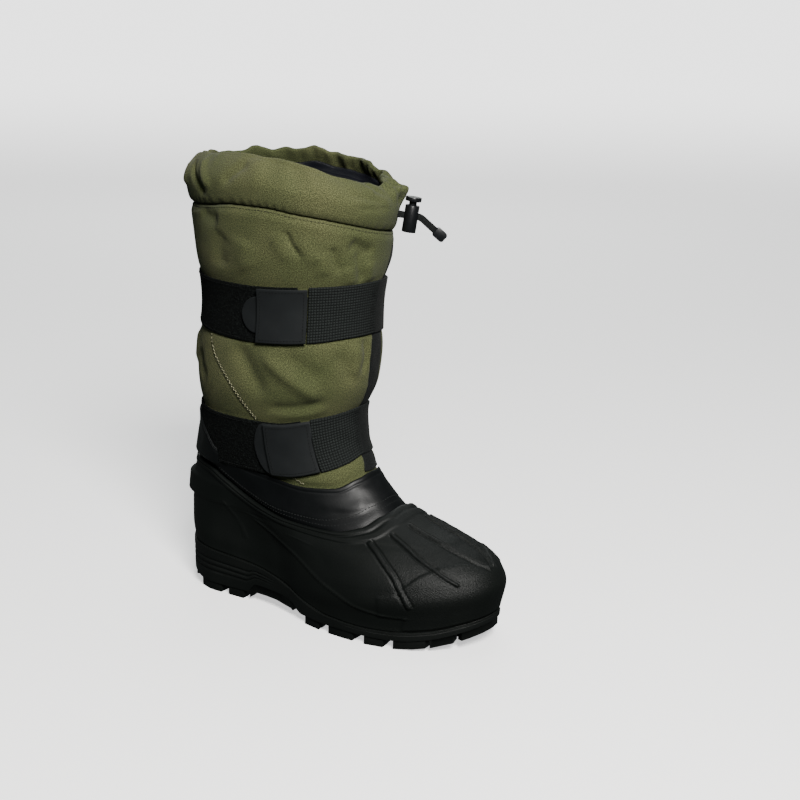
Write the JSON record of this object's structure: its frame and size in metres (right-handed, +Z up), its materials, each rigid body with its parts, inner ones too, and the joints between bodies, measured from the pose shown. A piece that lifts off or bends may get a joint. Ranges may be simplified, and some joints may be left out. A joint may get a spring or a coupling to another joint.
{
  "type": "cold-weather boot",
  "caption": "Tall winter boot: moulded rubber shell on a lugged cup sole, leather collar, padded nylon shaft, strap closures and a gathered cuff with a locked drawcord.",
  "frame": {"origin": "on the floor under the middle of the boot's box, measured without the drawcord and what is on it", "axes": "+X to the toe, +Y to the inner side of the foot, +Z up"},
  "size_m": [0.3168, 0.1322, 0.382],
  "materials": {
    "tread_rubber": "matt moulded rubber, pebbled between the lugs",
    "shell_rubber": "satin moulded rubber with a fine leather-like grain",
    "black_leather": "smooth polished black leather",
    "olive_nylon": "matt plain-weave nylon over padding",
    "black_nylon": "matt woven nylon",
    "webbing": "ribbed elastic webbing",
    "loop_pile": "brushed loop pile",
    "tab_sheet": "smooth coated tab, stitched round its border",
    "moulded_plastic": "moulded black plastic",
    "lining_felt": "dark felt footbed"
  },
  "bodies": {
    "boot": {"outsole": "tread_rubber", "insole": "lining_felt", "shell": "shell_rubber", "leather_collar": "black_leather", "shaft": "olive_nylon", "front_gusset": "black_nylon", "cuff": "olive_nylon", "upper_strap_loop_panel": "loop_pile", "upper_strap_tab": "tab_sheet", "upper_strap_tab_cover": "tab_sheet", "upper_strap_webbing": "webbing", "upper_strap_anchor": "black_nylon", "lower_strap_loop_panel": "loop_pile", "lower_strap_tab": "tab_sheet", "lower_strap_tab_cover": "tab_sheet", "lower_strap_webbing": "webbing", "lower_strap_anchor": "black_nylon", "drawcord": "black_nylon", "cord_lock_barrel": "moulded_plastic", "cord_end": "moulded_plastic"},
    "lock_button": {"cord_lock_button": "moulded_plastic"}
  },
  "joints": [
    {"name": "lock_press", "type": "slide", "parent": "boot", "child": "lock_button", "axis": [-0.1104, -0.0847, -0.9903], "range_m": [0, 0.003], "stiffness_N_per_m": 1500, "springref_m": -0.001}
  ]
}
